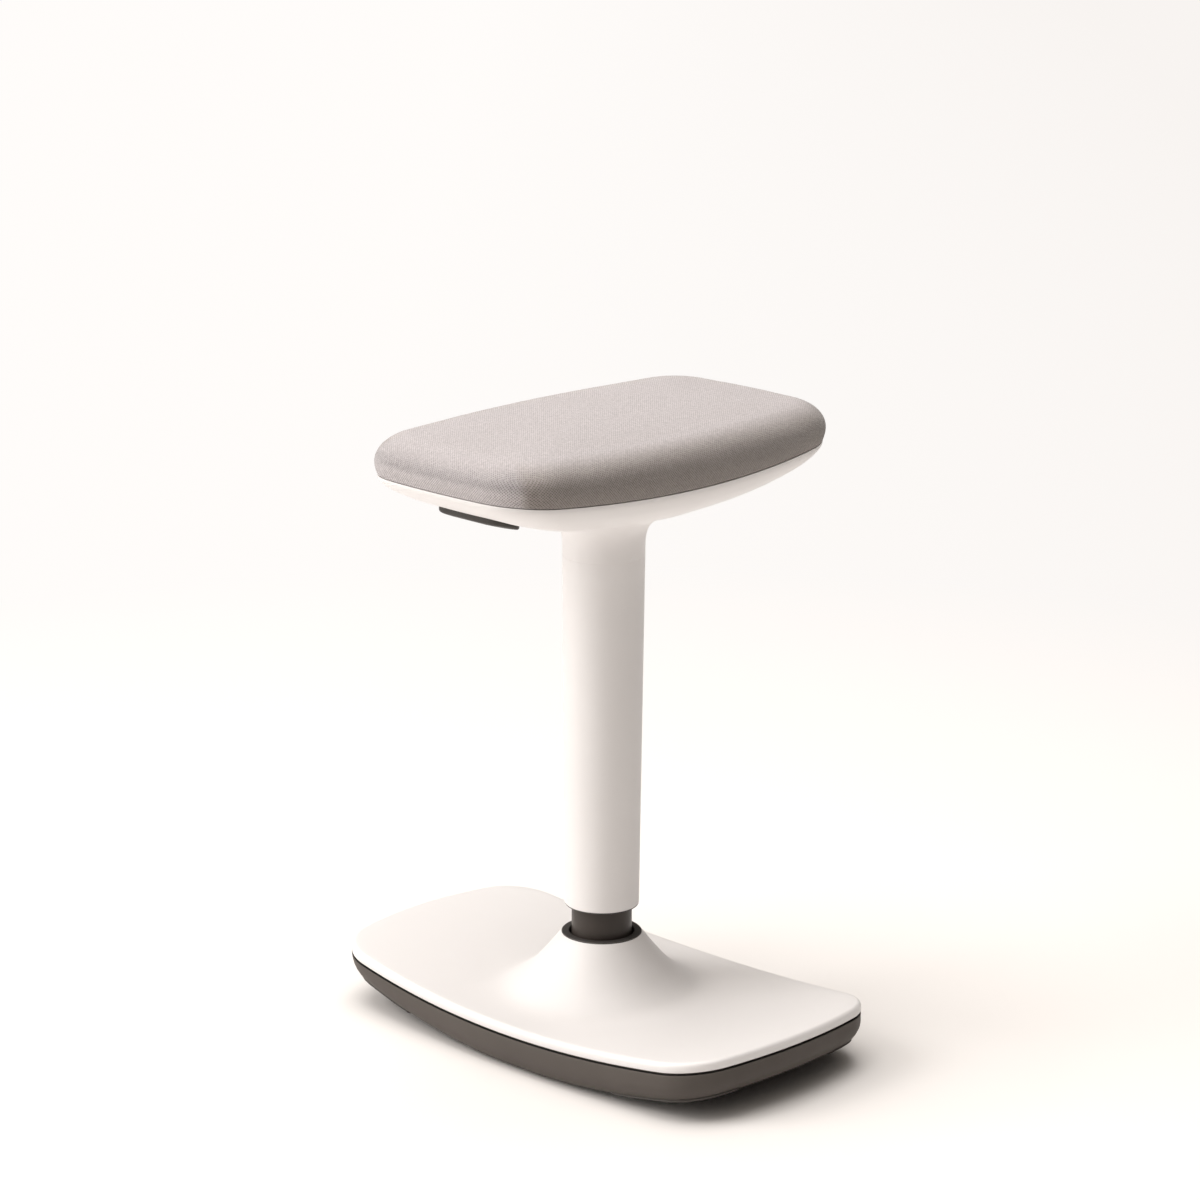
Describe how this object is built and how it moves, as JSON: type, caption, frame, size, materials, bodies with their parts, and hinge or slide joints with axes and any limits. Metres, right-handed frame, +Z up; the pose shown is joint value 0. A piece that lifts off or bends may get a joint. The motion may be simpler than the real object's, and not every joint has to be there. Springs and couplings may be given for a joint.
{
  "type": "adjustable rocking stool",
  "caption": "Height-adjustable rocking stool: padded saddle seat on a sleeved gas-lift column, a release paddle under the seat, and a weighted oblong base with a curved underside.",
  "frame": {"origin": "on the floor, on the column's axis, at the middle of the base", "axes": "+Z up along the column, X along the long way of the seat with the release paddle on the -X side, Y along the long way of the base"},
  "size_m": [0.3834, 0.4408, 0.5293],
  "materials": {
    "white_plastic": "satin",
    "pan_plastic": "fine texture, satin",
    "pad_rubber": "matt",
    "ballast_iron": "painted, matt",
    "tube_paint": "satin powder coat",
    "collar_plastic": "satin",
    "dark_steel": "black zinc, semi-matt",
    "plain_steel": "zinc plated",
    "chrome_steel": "ground and polished",
    "alloy": "machined",
    "brass_parts": "machined",
    "black_bearing_plastic": "smooth",
    "natural_plastic": "smooth",
    "black_rubber": "matt",
    "plywood": "sanded, unfinished",
    "seat_fabric": "fine woven, warm grey",
    "lever_plastic": "satin"
  },
  "bodies": {
    "base": {"base_cover": "white_plastic", "base_pan": "pan_plastic", "corner_pads": "pad_rubber", "ballast_plate": "ballast_iron", "base_screws": "plain_steel", "column_flange": "dark_steel", "flange_bolts": "plain_steel", "stand_tube": "tube_paint", "guide_bush": "black_bearing_plastic", "column_ring": "collar_plastic", "lower_race": "plain_steel", "ball_cage": "brass_parts", "bearing_balls": "chrome_steel"},
    "piston": {"upper_race": "plain_steel", "buffer_ring": "black_rubber", "piston_rod": "chrome_steel", "piston_head": "alloy", "piston_seal": "black_rubber", "clip_washer": "plain_steel", "retaining_clip": "plain_steel"},
    "seat": {"gas_cylinder": "dark_steel", "rod_guide": "natural_plastic", "valve_body": "brass_parts", "column_sleeve": "white_plastic", "sleeve_bush": "collar_plastic", "seat_shell": "white_plastic", "seat_bracket": "dark_steel", "bracket_bolts": "plain_steel", "seat_board": "plywood", "shell_screws": "plain_steel", "seat_cushion": "seat_fabric", "lever_axle": "plain_steel"},
    "lever": {"lever_arm": "dark_steel", "lever_paddle": "lever_plastic", "lever_screws": "plain_steel"},
    "pin": {"release_pin": "plain_steel"}
  },
  "joints": [
    {"name": "seat_swivel", "type": "hinge", "parent": "base", "child": "piston", "pos_m": [0, 0, 0.056], "axis": [0, 0, 1], "continuous": true},
    {"name": "seat_height", "type": "slide", "parent": "piston", "child": "seat", "axis": [0, 0, 1], "range_m": [0, 0.2]},
    {"name": "lever_pull", "type": "hinge", "parent": "seat", "child": "lever", "pos_m": [-0.04, 0, 0.4694], "axis": [0, 1, 0], "range_deg": [0, 4], "stiffness_Nm_per_rad": 1.5},
    {"name": "pin_press", "type": "slide", "parent": "seat", "child": "pin", "axis": [0, 0, -1], "range_m": [0, 0.003]}
  ],
  "couplings": [
    {"joint": "pin_press", "follows": "lever_pull", "m_per_rad": 0.04}
  ]
}
